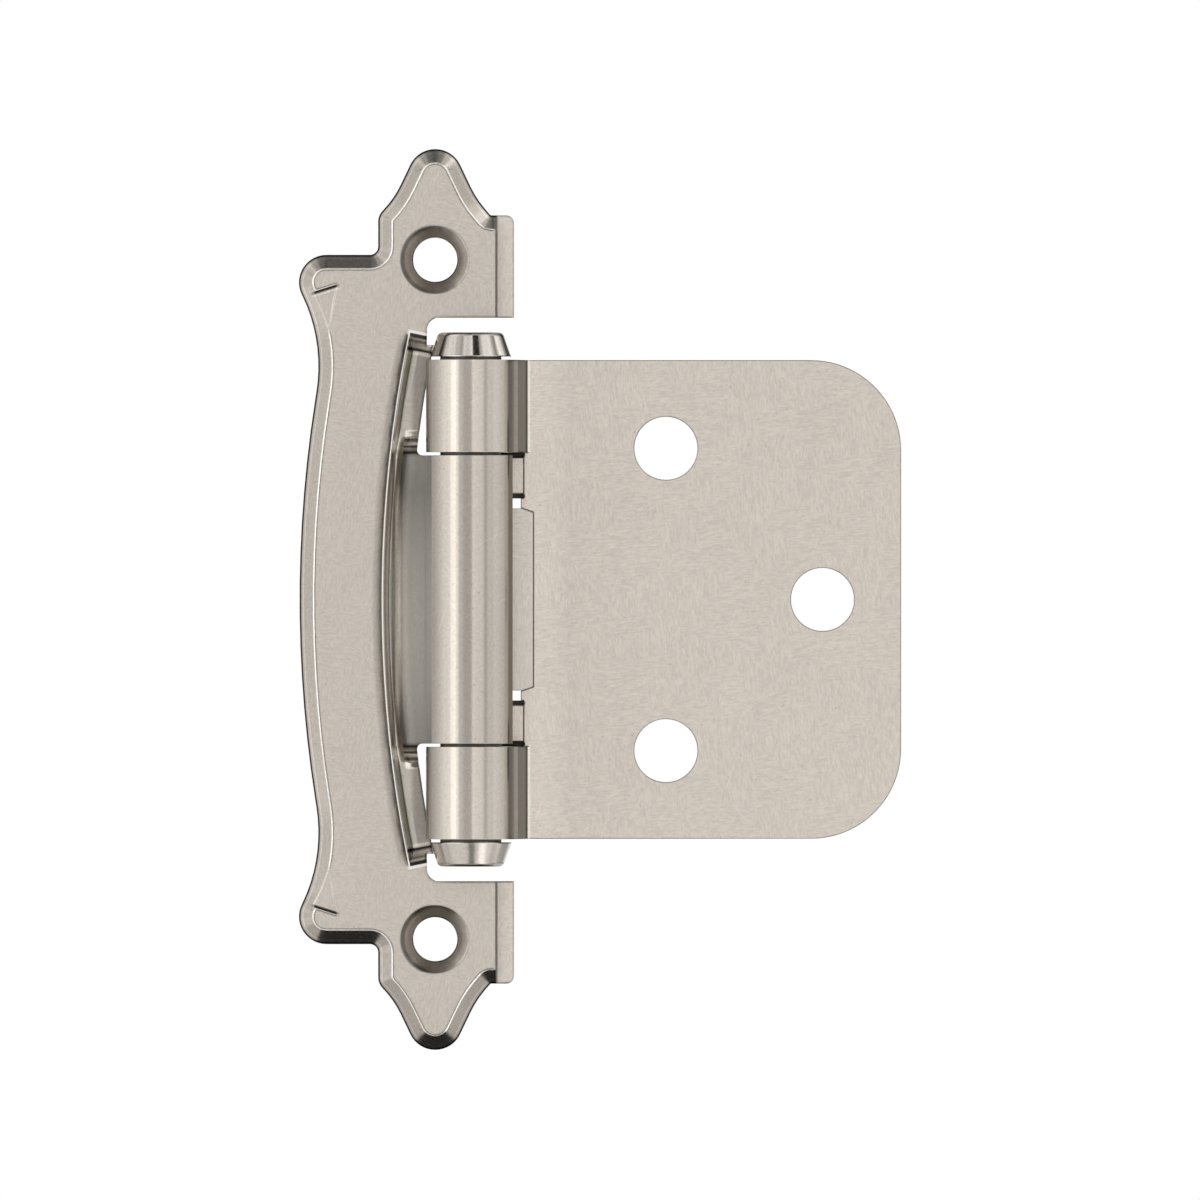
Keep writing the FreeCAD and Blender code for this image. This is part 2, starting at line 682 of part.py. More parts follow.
def closing_spring():
    """A strip that lies flush in the leaf's front and reaches round behind the barrel."""
    low = -SPRING_HEIGHT / 2
    inner = KNUCKLE_RADIUS + SPRING_KNUCKLE_GAP
    start = SPRING_BEND_ANGLE - 90
    end = -SPRING_HOOK_ANGLE - 90
    front = SHEET - PIN_AXIS_OUT
    slope = math.tan(math.radians(SPRING_BEND_ANGLE))

    def place(point):
        return at(PIN_AXIS_X + point[0], PIN_AXIS_OUT + point[1], low)

    def line(first, last):
        return Part.LineSegment(place(first), place(last)).toShape()

    def run(radius, level, bend_radius):
        touch = polar(radius, start)
        foot = (touch[0] + (level - touch[1]) / slope, level)
        tab_end = (SPRING_TAB_END, level)
        bend = rounded_corner(tab_end, foot, touch, bend_radius)
        hook = Part.Arc(*[place(polar(radius, a)) for a in (start, (start + end) / 2, end)])
        bent = Part.Arc(*[place(point) for point in bend]).toShape()
        return [line(tab_end, bend[0]), bent, line(bend[2], touch), hook.toShape()]

    above = run(inner, front, SPRING_BEND_RADIUS + SPRING_SHEET)
    below = run(inner + SPRING_SHEET, front - SPRING_SHEET, SPRING_BEND_RADIUS)
    tab_end = line((SPRING_TAB_END, front - SPRING_SHEET), (SPRING_TAB_END, front))
    hook_end = line(polar(inner, end), polar(inner + SPRING_SHEET, end))
    wire = Part.Wire(above + [hook_end] + below[::-1] + [tab_end])
    strip = Part.Face(wire).extrude(FreeCAD.Vector(0, 0, SPRING_HEIGHT))
    hook_side = block(-FAR, PIN_AXIS_X + KNUCKLE_RADIUS, -FAR, FAR, -FAR, FAR)
    return strip.common(spring_tab(0, -FAR, FAR).fuse(hook_side))


if __name__ == "__main__":
    os.makedirs("parts", exist_ok=True)
    frame_wing().Solids[0].exportStep("parts/frame_wing.step")
    door_leaf().Solids[0].exportStep("parts/door_leaf.step")
    hinge_pin().exportStep("parts/hinge_pin.step")
    pin_tip().exportStep("parts/pin_tip.step")
    closing_spring().Solids[0].exportStep("parts/closing_spring.step")
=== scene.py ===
import math

import bpy
from bpy.props import FloatProperty, FloatVectorProperty, PointerProperty
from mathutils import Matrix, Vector


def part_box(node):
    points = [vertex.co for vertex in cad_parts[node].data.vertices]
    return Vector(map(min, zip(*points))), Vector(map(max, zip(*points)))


bl_info = {
    "name": "Self-closing cabinet hinge",
    "version": (1, 0, 0),
    "blender": (4, 5, 0),
    "location": "View3D > Sidebar > Hinge",
    "description": "Satin nickel finishes and a photo table for a cabinet hinge",
    "category": "Object",
}

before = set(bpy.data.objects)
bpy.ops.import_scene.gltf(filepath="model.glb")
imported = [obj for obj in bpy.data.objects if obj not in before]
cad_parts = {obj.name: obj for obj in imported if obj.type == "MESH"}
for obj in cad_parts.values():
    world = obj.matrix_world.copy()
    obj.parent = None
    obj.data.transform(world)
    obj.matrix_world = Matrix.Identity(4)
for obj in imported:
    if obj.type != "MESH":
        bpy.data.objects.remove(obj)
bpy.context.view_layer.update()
pin_low, pin_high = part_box("hinge_pin")

MILLIMETRE = 0.001
DEGREE = math.radians(1)

# Where things are on the hinge, in metres. Heights are the same above and below the middle.
PIN_X = (pin_low.x + pin_high.x) / 2
PIN_Y = (pin_low.y + pin_high.y) / 2
TIP_BASE = 0.01884
BARREL_END = 0.0191
OUTER_KNUCKLE = 0.0113
HEAD_START = 0.0215
SCREW_HEIGHT = 0.0264
LEAF_BEND = 0.0071
FLAP_BEND = 0.0056
STRIP_BEND = 0.00475
BEVEL_FOOT = -0.0013
MARK_END = (-0.00764, 0.02448)
MARK_SLOPE = 0.3155

# The pocket's crest is an arc about a point right of the barrel.
ARC_CENTRE = 0.098871
ARC_RADIUS = 0.103
POCKET_END = 0.021
INNER_EDGE = -0.00094

# How much of a face's normal points to the front on the stamped bevels
BEVEL_SLOPE = 0.7071

# What the camera takes in
PHOTO_WIDTH = 0.0933
PHOTO_CENTRE = (0.012806, -0.00004)
SENSOR = 36.0


class HingeFinish(bpy.types.PropertyGroup):
    """Sizes and colours of the plating."""

    nickel_colour: FloatVectorProperty(
        name="Satin nickel", description="Plated sheet", subtype="COLOR", size=3,
        min=0.0, max=1.0, default=(0.6, 0.548, 0.487),
    )
    # Rubbed nickel on the edges, which also serves as a painted highlight on the crests and along
    # the pocket's crest
    worn_colour: FloatVectorProperty(
        name="Rubbed nickel", description="Plating rubbed bright on edges", subtype="COLOR",
        size=3, min=0.0, max=1.0, default=(0.97, 0.94, 0.9),
    )
    pin_colour: FloatVectorProperty(
        name="Pin nickel", description="Plated turned pin", subtype="COLOR", size=3,
        min=0.0, max=1.0, default=(0.6, 0.555, 0.5),
    )
    spring_colour: FloatVectorProperty(
        name="Spring steel", description="Plated spring strip", subtype="COLOR", size=3,
        min=0.0, max=1.0, default=(0.62, 0.58, 0.53),
    )
    sheet_gloss: FloatProperty(
        name="Sheet roughness", description="Roughness of the brushed flats",
        min=0.0, max=1.0, default=0.42,
    )
    barrel_gloss: FloatProperty(
        name="Barrel roughness", description="Roughness of the rolled knuckles",
        min=0.0, max=1.0, default=0.13,
    )
    bevel_gloss: FloatProperty(
        name="Bevel roughness", description="Roughness of the stamped bevels",
        min=0.0, max=1.0, default=0.24,
    )
    dull_gloss: FloatProperty(
        name="Dull roughness", description="Roughness of steep faces and of the pin's shaft",
        min=0.0, max=1.0, default=0.45,
    )
    wing_edge: FloatProperty(
        name="Wing edges", description="Radius that softens the stamped wing's edges",
        unit="LENGTH", min=0.0, default=0.00028,
    )
    barrel_edge: FloatProperty(
        name="Barrel edges", description="Radius that softens the knuckles' ends",
        unit="LENGTH", min=0.0, default=0.00006,
    )
    leaf_edge: FloatProperty(
        name="Leaf edges", description="Radius that softens the leaf's edges",
        unit="LENGTH", min=0.0, default=0.0001,
    )


class HingeStage(bpy.types.PropertyGroup):
    """Where the photo table's camera and lamp stand."""

    camera_distance: FloatProperty(
        name="Camera distance", description="From the hinge's mounting face",
        unit="LENGTH", min=0.1, default=2.4,
    )
    floor_level: FloatProperty(
        name="Floor level", description="Height of the table's top", unit="LENGTH",
        default=-0.055,
    )
    lamp_distance: FloatProperty(
        name="Lamp distance", description="From the hinge", unit="LENGTH", min=0.1, default=0.9,
    )


def new_tree(name, inputs, outputs):
    """A shader node group with its sockets, its input node and its output node."""
    tree = bpy.data.node_groups.new(name, "ShaderNodeTree")
    for label, kind, value in inputs:
        socket = tree.interface.new_socket(label, in_out="INPUT", socket_type=kind)
        socket.default_value = value
    for label, kind in outputs:
        tree.interface.new_socket(label, in_out="OUTPUT", socket_type=kind)
    return tree, tree.nodes.new("NodeGroupInput"), tree.nodes.new("NodeGroupOutput")


def mask_tree(name, labels, facing=False):
    """A group that makes masks from the object's coordinates, and from its normal if asked."""
    inputs = [("Coordinates", "NodeSocketVector", (0.0, 0.0, 0.0))]
    if facing:
        inputs.append(("Normal", "NodeSocketVector", (0.0, -1.0, 0.0)))
    return new_tree(name, inputs, [(label, "NodeSocketFloat") for label in labels])


def join(tree, value, socket):
    """Give an input a value or another node's output."""
    if isinstance(value, bpy.types.NodeSocket):
        tree.links.new(value, socket)
    else:
        socket.default_value = value


def add(tree, kind, inputs=None, **settings):
    """A node with its settings and its inputs."""
    node = tree.nodes.new(kind)
    for name, value in settings.items():
        setattr(node, name, value)
    for name, value in (inputs or {}).items():
        join(tree, value, node.inputs[name])
    return node


def sums(tree, operation, first, second=0.0, third=0.0):
    """The output of a Math node."""
    node = add(tree, "ShaderNodeMath", {0: first, 1: second, 2: third}, operation=operation)
    return node.outputs[0]


def product(tree, first, *others):
    """Numbers multiplied together."""
    for other in others:
        first = sums(tree, "MULTIPLY", first, other)
    return first


def inverse(tree, mask):
    """1 where a mask is 0."""
    return sums(tree, "SUBTRACT", 1.0, mask)


def length(tree, first, second):
    """How long the vector with these two components is."""
    squares = sums(tree, "ADD", product(tree, first, first), product(tree, second, second))
    return sums(tree, "SQRT", squares)


def parts(tree, vector):
    """The three components of a vector."""
    return add(tree, "ShaderNodeSeparateXYZ", {0: vector}).outputs


def spread(tree, value, low, high, to_low=0.0, to_high=1.0, smooth=False):
    """A value moved from one range to another."""
    node = add(tree, "ShaderNodeMapRange", {
        "Value": value, "From Min": low, "From Max": high, "To Min": to_low, "To Max": to_high,
    })
    node.interpolation_type = "SMOOTHSTEP" if smooth else "LINEAR"
    return node.outputs["Result"]


def past(tree, value, start, soft=0.0001, smooth=False):
    """A mask that rises from a start over a soft border."""
    return spread(tree, value, start, start + soft, smooth=smooth)


def short_of(tree, value, end, soft=0.0001, smooth=False):
    """A mask that has gone at an end, after a soft border."""
    return spread(tree, value, end, end - soft, smooth=smooth)


def line_at(tree, value, place, half, soft):
    """A line where a value is near a place; half is half its width."""
    off = sums(tree, "ABSOLUTE", sums(tree, "SUBTRACT", value, place))
    return short_of(tree, off, half, soft)


def mixed(tree, share, first, second):
    """A colour between two others."""
    node = add(tree, "ShaderNodeMix", data_type="RGBA")
    for name, value in (("Factor", share), ("A", first), ("B", second)):
        join(tree, value, next(s for s in node.inputs if s.name == name and s.enabled))
    return next(s for s in node.outputs if s.enabled)


def level_between(tree, share, first, second):
    """A number between two others."""
    node = add(tree, "ShaderNodeMix", {0: share, 2: first, 3: second}, data_type="FLOAT")
    return node.outputs[0]


def follow(tree, value, stops, unit, top):
    """A level that follows a value through stops, which are in the unit and up to the top."""
    low = stops[0][0]
    high = stops[-1][0]
    share = spread(tree, value, low * unit, high * unit)
    node = add(tree, "ShaderNodeValToRGB", {"Fac": share})
    ramp = node.color_ramp
    while len(ramp.elements) < len(stops):
        ramp.elements.new(0.5)
    for element, (place, level) in zip(ramp.elements, stops):
        element.position = (place - low) / (high - low)
        element.color = (level / top, level / top, level / top, 1.0)
    return product(tree, node.outputs[0], top)


def vector_sum(tree, operation, first, second=(0.0, 0.0, 0.0)):
    """The output of a Vector Math node; to scale a vector, the second is a number."""
    other = "Scale" if operation == "SCALE" else 1
    node = add(tree, "ShaderNodeVectorMath", {0: first, other: second}, operation=operation)
    return node.outputs["Value" if operation == "DOT_PRODUCT" else "Vector"]


def brushed_grain():
    """Fine marks of a brushing wheel, in patches that run across or along the object."""
    tree, given, out = new_tree(
        "Brushed grain",
        [
            ("Coordinates", "NodeSocketVector", (0.0, 0.0, 0.0)),
            ("Marks across", "NodeSocketFloat", 9000.0),
            ("Marks along", "NodeSocketFloat", 900.0),
        ],
        [("Height", "NodeSocketFloat"), ("Mask", "NodeSocketFloat")],
    )
    where = given.outputs["Coordinates"]
    across = given.outputs["Marks across"]
    along = given.outputs["Marks along"]
    found = []
    for scales in ((along, across, across), (across, across, along)):
        axis = add(tree, "ShaderNodeCombineXYZ", {0: scales[0], 1: scales[1], 2: scales[2]})
        stretched = vector_sum(tree, "MULTIPLY", where, axis.outputs[0])
        marks = add(tree, "ShaderNodeTexNoise", {
            "Vector": stretched, "Scale": 1.0, "Detail": 2.0, "Roughness": 0.6,
        })
        found.append(marks.outputs["Fac"])
    patches = add(tree, "ShaderNodeTexNoise", {"Vector": where, "Scale": 330.0, "Detail": 1.0})
    turn = spread(tree, patches.outputs["Fac"], 0.48, 0.52, smooth=True)
    height = level_between(tree, turn, found[0], found[1])
    tree.links.new(height, out.inputs["Height"])
    tree.links.new(spread(tree, height, 0.36, 0.64), out.inputs["Mask"])
    return tree


def stray_scratches():
    """A few thin straight scratches that cross the front at several angles."""
    tree, given, out = new_tree(
        "Stray scratches",
        [
            ("Coordinates", "NodeSocketVector", (0.0, 0.0, 0.0)),
            ("Amount", "NodeSocketFloat", 0.5),
        ],
        [("Mask", "NodeSocketFloat")],
    )
    found = 0.0
    for angle, along, across in ((0.5, 330.0, 9000.0), (1.25, 260.0, 8000.0), (2.2, 380.0, 9500.0)):
        turned = add(tree, "ShaderNodeMapping", {
            "Vector": given.outputs["Coordinates"], "Rotation": (0.0, angle, 0.0),
        })
        stretched = vector_sum(tree, "MULTIPLY", turned.outputs[0], (along, 40.0, across))
        marks = add(tree, "ShaderNodeTexNoise", {"Vector": stretched, "Scale": 1.0, "Detail": 0.0})
        found = sums(tree, "MAXIMUM", found, spread(tree, marks.outputs["Fac"], 0.77, 0.84))
    tree.links.new(product(tree, found, given.outputs["Amount"]), out.inputs["Mask"])
    return tree


def speckle():
    """Mottled plating: soft clouds, a fine mottle and a few pinholes."""
    tree, given, out = mask_tree("Speckle", ("Clouds", "Mottle", "Pinholes"))
    where = given.outputs["Coordinates"]
    for label, scale, rough in (("Clouds", 180.0, 0.55), ("Mottle", 4200.0, 0.7)):
        noise = add(tree, "ShaderNodeTexNoise", {
            "Vector": where, "Scale": scale, "Detail": 3.0, "Roughness": rough,
        })
        tree.links.new(spread(tree, noise.outputs["Fac"], 0.3, 0.7), out.inputs[label])
    dots = add(tree, "ShaderNodeTexVoronoi", {
        "Vector": where, "Scale": 900.0, "Randomness": 1.0,
    }, feature="F1")
    tree.links.new(spread(tree, dots.outputs["Distance"], 0.06, 0.11, 1.0, 0.0),
                   out.inputs["Pinholes"])
    return tree


def edge_wear():
    """Softened edges: rubbed crests with a ragged border, partly real wear and partly a painted
    highlight, a painted shade on the lip just inside them, painted shade at the feet, and the
    normal.
    """
    tree, given, out = new_tree(
        "Edge wear",
        [
            ("Coordinates", "NodeSocketVector", (0.0, 0.0, 0.0)),
            ("Radius", "NodeSocketFloat", 0.00012),
        ],
        [
            ("Crest", "NodeSocketFloat"), ("Lip", "NodeSocketFloat"),
            ("Foot", "NodeSocketFloat"), ("Normal", "NodeSocketVector"),
        ],
    )
    soft = add(tree, "ShaderNodeBevel", {"Radius": given.outputs["Radius"]}, samples=16).outputs[0]
    plain = add(tree, "ShaderNodeNewGeometry").outputs["Normal"]
    agreed = vector_sum(tree, "DOT_PRODUCT", soft, plain)
    own = add(tree, "ShaderNodeVectorTransform", {
        0: soft,
    }, vector_type="NORMAL", convert_from="WORLD", convert_to="OBJECT")
    # 1 on the flats, 0.707 on the bevels and less on a rim
    front = sums(tree, "ABSOLUTE", parts(tree, own.outputs[0])[1])
    ragged = add(tree, "ShaderNodeTexNoise", {
        "Vector": given.outputs["Coordinates"], "Scale": 2600.0, "Detail": 2.0,
    })
    # Crest: rubbed plating and a painted highlight; lip: painted shade on the roll inside a crest;
    # foot: painted shade at the bevels' feet
    crest = product(
        tree, spread(tree, agreed, 0.9995, 0.98),
        spread(tree, ragged.outputs["Fac"], 0.35, 0.6, 0.75, 1.0),
        spread(tree, front, 0.77, 0.83, smooth=True),
        spread(tree, front, 0.982, 0.966, smooth=True),
    )
    lip = product(tree, spread(tree, agreed, 0.99995, 0.9994),
                  spread(tree, front, 0.966, 0.98, smooth=True))
    foot = product(tree, spread(tree, agreed, 0.99998, 0.9997),
                   spread(tree, front, 0.7066, 0.703, smooth=True))
    for label, value in (("Crest", crest), ("Lip", lip), ("Foot", foot), ("Normal", soft)):
        tree.links.new(value, out.inputs[label])
    return tree


def rolled_barrel():
    """How near a point is to the barrel's round wall, measured from the pin's axis."""
    wall = 0.0036
    tree, given, out = mask_tree("Rolled barrel", ("Mask",))
    x, y, z = parts(tree, given.outputs["Coordinates"])
    reach = length(tree, sums(tree, "SUBTRACT", x, PIN_X), sums(tree, "SUBTRACT", y, PIN_Y))
    near = sums(tree, "SUBTRACT", wall, reach)
    round_wall = spread(tree, near, -0.00012, 0.00002, smooth=True)
    along = short_of(tree, sums(tree, "ABSOLUTE", z), BARREL_END)
    tree.links.new(product(tree, round_wall, along), out.inputs["Mask"])
    return tree


def brush_reach_and_shade():
    """Faces that the brushing wheel polishes, steep faces, and faces turned away from the front and
    the left, which take a painted shade.
    """
    tree, given, out = mask_tree("Brush reach and shade", ("Proud", "Steep", "Turned away shade"), facing=True)
    x, y, _ = parts(tree, given.outputs["Normal"])
    front = sums(tree, "ABSOLUTE", y)
    tree.links.new(spread(tree, front, 0.88, 0.97, smooth=True), out.inputs["Proud"])
    tree.links.new(spread(tree, front, 0.64, 0.5, smooth=True), out.inputs["Steep"])
    # Faces turned away from the front and the left lamp: a mask for painted shade
    toward = sums(tree, "MULTIPLY_ADD", x, -0.2, front)
    tree.links.new(spread(tree, toward, 0.46, 0.34, smooth=True), out.inputs["Turned away shade"])
    return tree


def from_screw(tree, x, z):
    """The distance from the middle of the nearer screw hole."""
    up = sums(tree, "SUBTRACT", sums(tree, "ABSOLUTE", z), SCREW_HEIGHT)
    return length(tree, x, up)


def recess_shading():
    """Masks for painted shade and light: the screw holes' countersinks, the shaded side of their
    rims, and what lies deeper than the leaf's front.
    """
    sink, sink_lit, rim = 0.00268, 0.0016, 0.00278
    leaf_front, groove_end = -0.00098, 0.0072
    tree, given, out = mask_tree("Recess shading", ("Countersink", "Rim", "Groove"))
    x, y, z = parts(tree, given.outputs["Coordinates"])
    reach = from_screw(tree, x, z)
    side = sums(tree, "DIVIDE", x, reach)
    # The countersink is painted darker, and painted lighter towards its right side
    lit = product(tree, spread(tree, side, 0.35, 0.95, smooth=True),
                  past(tree, reach, sink_lit, 0.0007))
    countersink = product(tree, short_of(tree, reach, sink, 0.00008),
                          sums(tree, "MULTIPLY_ADD", lit, -1.6, 1.0))
    tree.links.new(countersink, out.inputs["Countersink"])
    ring = product(tree, past(tree, reach, 0.0023, 0.0002), short_of(tree, reach, rim))
    shaded_side = spread(tree, side, 0.1, -0.5, smooth=True)
    tree.links.new(product(tree, ring, shaded_side), out.inputs["Rim"])
    # What lies deeper than the leaf's front and left of the grooves' end: a mask for a nearly black
    # painted shade in the gaps
    deep = past(tree, y, leaf_front, 0.00018)
    tree.links.new(product(tree, deep, short_of(tree, x, groove_end, 0.0003)),
                   out.inputs["Groove"])
    return tree


def bend_lines():
    """Where light and shade are painted on the leaf: a dark line and a highlight where it bends up
    to its knuckles, the area beside the barrel, its ramp and the shaded side of the outer knuckles.
    """
    tree, given, out = mask_tree(
        "Bend lines", ("Dark line", "Bright line", "Beside", "Ramp", "Shaded side"),
    )
    x, _, z = parts(tree, given.outputs["Coordinates"])
    outer = past(tree, sums(tree, "ABSOLUTE", z), OUTER_KNUCKLE)
    for label, place in (("Dark line", LEAF_BEND), ("Bright line", LEAF_BEND + 0.00023)):
        line = line_at(tree, x, place, 0.00013, 0.00006)
        tree.links.new(product(tree, outer, line), out.inputs[label])
    start = level_between(tree, outer, FLAP_BEND, LEAF_BEND)
    beyond = past(tree, sums(tree, "SUBTRACT", x, start), 0.0)
    tree.links.new(product(tree, beyond, short_of(tree, x, 0.0105, 0.003)), out.inputs["Beside"])
    ramp = product(tree, past(tree, x, 0.0055, 0.0003), short_of(tree, x, 0.00705), outer)
    tree.links.new(ramp, out.inputs["Ramp"])
    shaded_side = product(tree, outer, short_of(tree, x, -0.0001, 0.00025))
    tree.links.new(shaded_side, out.inputs["Shaded side"])
    return tree


def strip_lines():
    """A painted dark line and highlight at the bend beside the low strip, the strip, and where the
    edges are darker and not rubbed.
    """
    tree, given, out = mask_tree(
        "Strip lines", ("Dark line", "Bright line", "Strip", "Inside"),
    )
    x, _, z = parts(tree, given.outputs["Coordinates"])
    on_head = past(tree, sums(tree, "ABSOLUTE", z), HEAD_START)
    for label, place in (("Dark line", STRIP_BEND), ("Bright line", STRIP_BEND + 0.00024)):
        line = line_at(tree, x, place, 0.00011, 0.00006)
        tree.links.new(product(tree, on_head, line), out.inputs[label])
    strip = product(tree, on_head, past(tree, x, STRIP_BEND + 0.0003, 0.00005))
    tree.links.new(strip, out.inputs["Strip"])
    rim = short_of(tree, from_screw(tree, x, z), 0.0031, 0.0002)
    beside = product(tree, on_head, past(tree, x, STRIP_BEND - 0.00025))
    tree.links.new(sums(tree, "MAXIMUM", rim, beside), out.inputs["Inside"])
    return tree


def ear_marks():
    """The sheared edge of the mark pressed on each ear, with painted shade along it and a painted
    highlight below it, and the quiet area below it.
    """
    tree, given, out = mask_tree("Ear marks", ("Sheared edge", "Lit edge", "Quiet"))
    x, _, z = parts(tree, given.outputs["Coordinates"])
    height = sums(tree, "ABSOLUTE", z)
    from_end = sums(tree, "SUBTRACT", x, MARK_END[0])
    edge = sums(tree, "MULTIPLY_ADD", from_end, MARK_SLOPE, MARK_END[1])
    off = sums(tree, "SUBTRACT", height, edge)
    across = product(tree, past(tree, x, -0.0097, 0.0004), short_of(tree, x, -0.0074, 0.0003))
    sheared = product(tree, across, line_at(tree, off, -0.00012, 0.00013, 0.00005))
    tree.links.new(sheared, out.inputs["Sheared edge"])
    upper = past(tree, z, 0.0, 0.001)
    lit = product(tree, across, line_at(tree, off, -0.00036, 0.00008, 0.00005), upper)
    tree.links.new(lit, out.inputs["Lit edge"])
    quiet = product(
        tree, short_of(tree, off, 0.0001), past(tree, height, 0.0204, 0.0007, smooth=True),
        past(tree, x, -0.01, 0.0002),
    )
    tree.links.new(quiet, out.inputs["Quiet"])
    return tree


def bevel_foot():
    """A painted shade along the foot of the stamped bevels and a painted highlight above it."""
    tree, given, out = mask_tree("Bevel foot", ("Dark line", "Bright line"), facing=True)
    y = parts(tree, given.outputs["Coordinates"])[1]
    front = parts(tree, given.outputs["Normal"])[1]
    off_slope = sums(tree, "ABSOLUTE", sums(tree, "ADD", front, BEVEL_SLOPE))
    on_bevel = short_of(tree, off_slope, 0.03, 0.015)
    for label, rise, half in (("Dark line", 0.00005, 0.0001), ("Bright line", 0.0003, 0.00006)):
        line = line_at(tree, y, BEVEL_FOOT - rise, half, 0.00004)
        tree.links.new(product(tree, on_bevel, line), out.inputs[label])
    return tree


# How much lighter or darker the pocket is painted, as painted light and shade, at distances in
# millimetres: along its arc from the middle, up from the middle, and from the arc's centre beside
# the centre knuckle and beside the outer ones
MOST_BAND = 4.0
END_BANDS = (
    (19.2, 1.0), (19.38, 1.5), (19.52, 1.0), (19.6, 0.08), (19.72, 0.1), (19.9, 1.3),
    (20.2, 1.0), (20.32, 0.4), (20.52, 1.6), (20.66, 0.08), (20.88, 0.08), (20.98, 1.0),
)
LANCE_BANDS = (
    (11.1, 1.0), (11.2, 0.7), (11.27, 0.35), (11.34, 0.06), (11.46, 0.05), (11.55, 0.4),
    (11.74, 1.1), (11.82, 0.4), (11.88, 0.13), (11.95, 0.5), (12.03, 3.2), (12.15, 3.6),
    (12.23, 1.4), (12.33, 0.6), (12.46, 0.5), (12.58, 2.4), (12.75, 1.9), (13.06, 1.8),
    (13.25, 1.0),
)
WALL_BANDS = (
    (99.9, 1.0), (100.2, 1.1), (100.84, 1.3), (101.3, 1.9), (101.6, 1.8), (101.69, 1.5),
    (101.77, 1.15), (101.9, 1.0), (102.08, 0.87), (102.2, 0.58), (102.31, 0.5), (102.39, 0.75),
    (102.46, 1.1), (102.54, 3.2), (102.62, 3.8), (102.7, 2.5), (102.78, 1.15), (102.85, 0.5),
    (102.95, 1.3),
)
FAR_WALL_BANDS = (
    (101.9, 1.0), (102.3, 1.0), (102.5, 1.7), (102.6, 3.2), (102.72, 3.6), (102.84, 1.9),
    (102.92, 1.5), (103.04, 2.0), (103.16, 1.8), (103.3, 1.3), (103.5, 1.0),
)


def pocket_light_and_shade():
    """Painted light and shade in the pocket beside the barrel, in bands along its arc, up from the
    middle and out from the arc's centre, with a painted highlight along its crest.
    """
    tree, given, out = mask_tree(
        "Pocket light and shade",
        ("Factor", "Rubbed line", "Ramp", "Inside", "Barrel foot", "Far wall"),
    )
    x, _, z = parts(tree, given.outputs["Coordinates"])
    height = sums(tree, "ABSOLUTE", z)
    reach = length(tree, sums(tree, "SUBTRACT", ARC_CENTRE, x), z)
    outward = sums(tree, "SUBTRACT", reach, ARC_RADIUS)
    angle = sums(tree, "ARCSINE", sums(tree, "DIVIDE", height, reach))
    along = product(tree, angle, ARC_RADIUS)

    # Areas of the pocket
    ended = short_of(tree, along, POCKET_END + 0.0001, 0.0002)
    in_pocket = product(tree, short_of(tree, outward, 0.0, 0.00007), ended)
    inner = short_of(tree, outward, INNER_EDGE)
    inside = product(tree, short_of(tree, outward, 0.0012, 0.0002),
                     short_of(tree, along, POCKET_END + 0.0004))
    roll = product(
        tree, short_of(tree, outward, 0.00085, 0.00075), past(tree, outward, 0.0, 0.00005),
        short_of(tree, along, 0.0208, 0.001),
    )
    near_middle = short_of(tree, height, 0.01145, 0.00015)
    beside_flange = product(tree, past(tree, height, OUTER_KNUCKLE, 0.0005),
                            short_of(tree, along, 0.0196, 0.0004))
    ramp = product(tree, inner, short_of(tree, height, 0.01135, 0.0002),
                   short_of(tree, x, -0.0002))
    shade = product(tree, inner, beside_flange, past(tree, x, -0.00205, 0.00055, smooth=True))

    # How much lighter or darker they are painted, as painted light and shade
    wall_foot = line_at(tree, x, -0.00323, 0.00018, 0.00012)
    wall = product(tree, follow(tree, reach, WALL_BANDS, MILLIMETRE, MOST_BAND),
                   level_between(tree, wall_foot, 1.0, 0.5))
    low = sums(tree, "ADD", z, 0.0015)
    hollow = sums(tree, "MULTIPLY_ADD", product(tree, low, low), -4500.0, 1.0)
    factors = (
        (in_pocket, follow(tree, along, END_BANDS, MILLIMETRE, MOST_BAND)),
        (inner, follow(tree, height, LANCE_BANDS, MILLIMETRE, MOST_BAND)),
        (product(tree, in_pocket, near_middle), wall),
        (beside_flange, follow(tree, reach, FAR_WALL_BANDS, MILLIMETRE, MOST_BAND)),
        (shade, 0.62),
        (roll, 0.42),
        (ramp, sums(tree, "MAXIMUM", hollow, 0.57)),
    )
    levels = [level_between(tree, mask, 1.0, factor) for mask, factor in factors]

    # A painted highlight along the pocket's crest and the top of its end wall
    crest = product(tree, line_at(tree, outward, -0.00003, 0.00008, 0.00005), ended)
    end_line = product(tree, line_at(tree, along, POCKET_END, 0.00014, 0.00006),
                       short_of(tree, outward, 0.0001, 0.00005))
    for label, value in (
        ("Factor", product(tree, *levels)),
        ("Rubbed line", sums(tree, "MAXIMUM", crest, end_line)),
        ("Ramp", ramp),
        ("Inside", inside),
        ("Barrel foot", product(tree, ramp, past(tree, x, -0.00095, 0.00035, smooth=True))),
        ("Far wall", product(tree, in_pocket, inverse(tree, inner), beside_flange)),
    ):
        tree.links.new(value, out.inputs[label])
    return tree


def placed(tree, make, inputs):
    """A shared group as a node in a material, built the first time that it is asked for."""
    name = make.__name__.replace("_", " ").capitalize()
    node = tree.nodes.new("ShaderNodeGroup")
    node.node_tree = bpy.data.node_groups.get(name) or make()
    for label, value in inputs.items():
        join(tree, value, node.inputs[label])
    return node


def shaded(colour, factor):
    """A colour lighter or darker by a factor, as a socket takes it."""
    return tuple(min(1.0, c * factor) for c in colour) + (1.0,)


